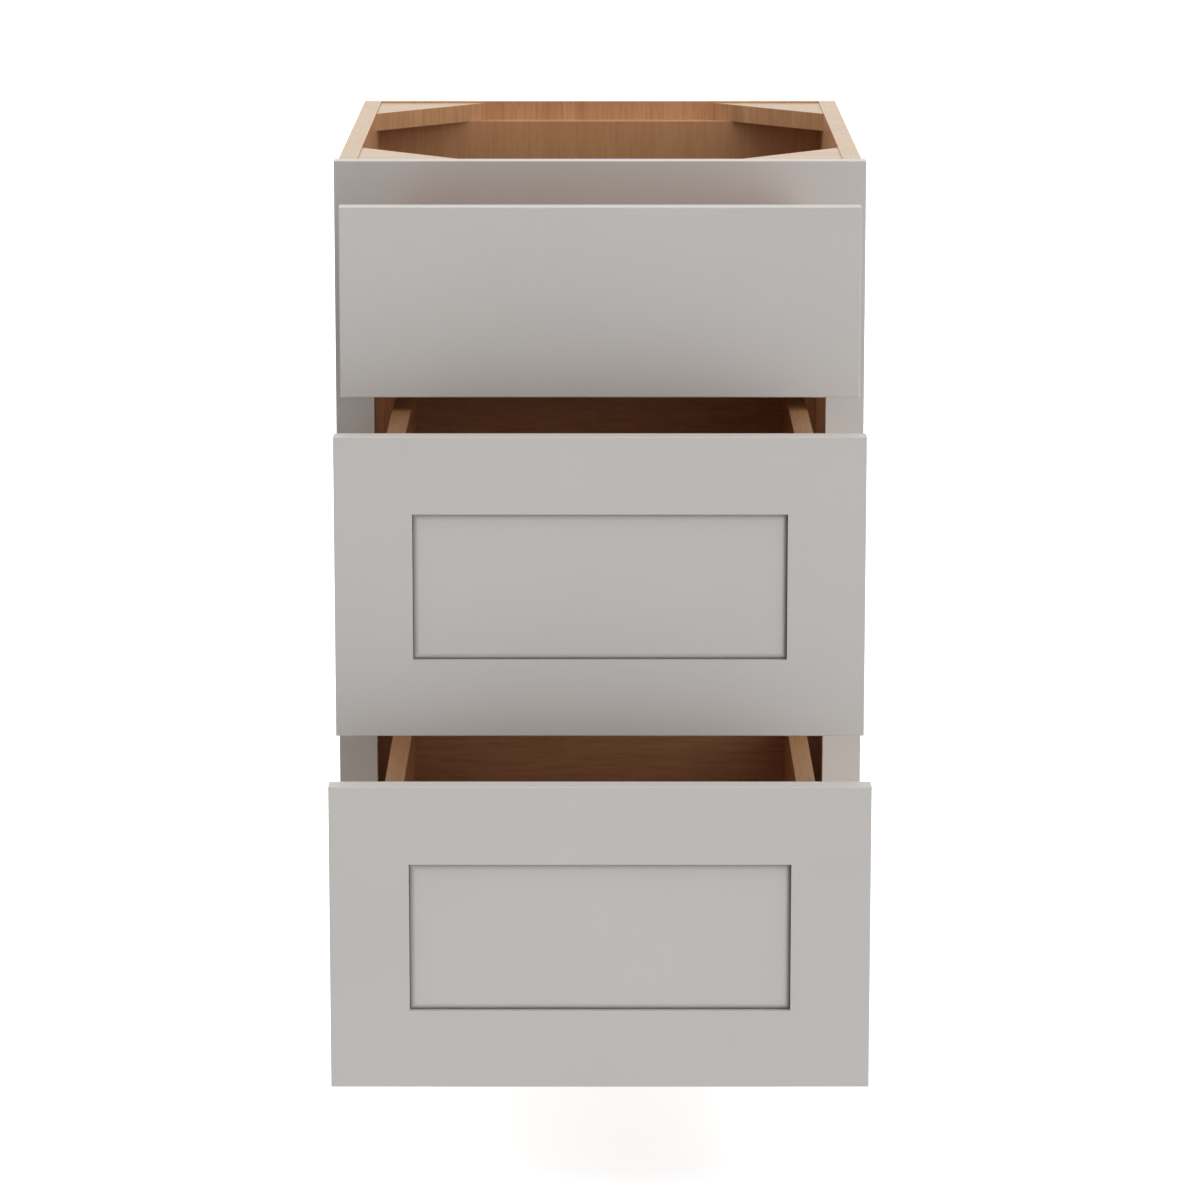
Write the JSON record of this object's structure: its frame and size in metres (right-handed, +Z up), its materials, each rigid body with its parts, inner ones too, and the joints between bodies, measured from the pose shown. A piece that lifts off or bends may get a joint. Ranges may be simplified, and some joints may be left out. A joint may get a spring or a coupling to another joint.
{
  "type": "vanity drawer base cabinet",
  "caption": "Face-frame vanity base cabinet with stacked drawers on telescopic side slides: a slab front over framed fronts, an open top with corner gussets, and a toe recess.",
  "frame": {"origin": "on the floor, on the wall plane at the cabinet's back, midway between its sides", "axes": "+Z up, +X to the right seen from the front, +Y into the wall, so the drawers open along -Y; the drawers are stored partly open, as pictured"},
  "size_m": [0.4572, 0.9309, 0.8001],
  "materials": {
    "grey_paint": "satin",
    "maple_ply": "satin",
    "drawer_birch": "satin",
    "slide_steel": "satin",
    "screw_steel": "satin",
    "bumper_rubber": "satin"
  },
  "bodies": {
    "carcase": {"back_panel": "maple_ply", "bottom_panel": "maple_ply", "bottom_rail": "grey_paint", "bottom_slide_cabinet_members": "slide_steel", "cabinet_screws": "screw_steel", "hang_rail": "maple_ply", "left_front_gusset": "maple_ply", "left_rear_gusset": "maple_ply", "left_side_panel": "maple_ply", "left_stile": "grey_paint", "lower_mid_rail": "grey_paint", "middle_slide_cabinet_members": "slide_steel", "right_front_gusset": "maple_ply", "right_rear_gusset": "maple_ply", "right_side_panel": "maple_ply", "right_stile": "grey_paint", "slide_cleats": "maple_ply", "toe_kick_board": "grey_paint", "top_rail": "grey_paint", "top_slide_cabinet_members": "slide_steel", "upper_mid_rail": "grey_paint"},
    "top_drawer": {"top_box_back": "drawer_birch", "top_box_bottom": "drawer_birch", "top_box_front": "drawer_birch", "top_box_left_side": "drawer_birch", "top_box_right_side": "drawer_birch", "top_drawer_screws": "screw_steel", "top_front_bumpers": "bumper_rubber", "top_front_slab": "grey_paint", "top_slide_drawer_members": "slide_steel"},
    "top_runners": {"top_slide_middle_members": "slide_steel"},
    "middle_drawer": {"middle_box_back": "drawer_birch", "middle_box_bottom": "drawer_birch", "middle_box_front": "drawer_birch", "middle_box_left_side": "drawer_birch", "middle_box_right_side": "drawer_birch", "middle_drawer_screws": "screw_steel", "middle_front_bottom_rail": "grey_paint", "middle_front_bumpers": "bumper_rubber", "middle_front_left_stile": "grey_paint", "middle_front_panel": "grey_paint", "middle_front_right_stile": "grey_paint", "middle_front_top_rail": "grey_paint", "middle_slide_drawer_members": "slide_steel"},
    "middle_runners": {"middle_slide_middle_members": "slide_steel"},
    "bottom_drawer": {"bottom_box_back": "drawer_birch", "bottom_box_bottom": "drawer_birch", "bottom_box_front": "drawer_birch", "bottom_box_left_side": "drawer_birch", "bottom_box_right_side": "drawer_birch", "bottom_drawer_screws": "screw_steel", "bottom_front_bottom_rail": "grey_paint", "bottom_front_bumpers": "bumper_rubber", "bottom_front_left_stile": "grey_paint", "bottom_front_panel": "grey_paint", "bottom_front_right_stile": "grey_paint", "bottom_front_top_rail": "grey_paint", "bottom_slide_drawer_members": "slide_steel"},
    "bottom_runners": {"bottom_slide_middle_members": "slide_steel"}
  },
  "joints": [
    {"name": "top_drawer_slide", "type": "slide", "parent": "carcase", "child": "top_drawer", "axis": [0, -1, 0], "range_m": [-0.148, 0.3019]},
    {"name": "top_runner_slide", "type": "slide", "parent": "carcase", "child": "top_runners", "axis": [0, -1, 0], "range_m": [-0.0741, 0.15105]},
    {"name": "middle_drawer_slide", "type": "slide", "parent": "carcase", "child": "middle_drawer", "axis": [0, -1, 0], "range_m": [-0.2711, 0.1788]},
    {"name": "middle_runner_slide", "type": "slide", "parent": "carcase", "child": "middle_runners", "axis": [0, -1, 0], "range_m": [-0.13565, 0.0895]},
    {"name": "bottom_drawer_slide", "type": "slide", "parent": "carcase", "child": "bottom_drawer", "axis": [0, -1, 0], "range_m": [-0.3959, 0.054]},
    {"name": "bottom_runner_slide", "type": "slide", "parent": "carcase", "child": "bottom_runners", "axis": [0, -1, 0], "range_m": [-0.19805, 0.0271]}
  ],
  "couplings": [
    {"joint": "top_runner_slide", "follows": "top_drawer_slide", "ratio": 0.5},
    {"joint": "middle_runner_slide", "follows": "middle_drawer_slide", "ratio": 0.5},
    {"joint": "bottom_runner_slide", "follows": "bottom_drawer_slide", "ratio": 0.5}
  ]
}
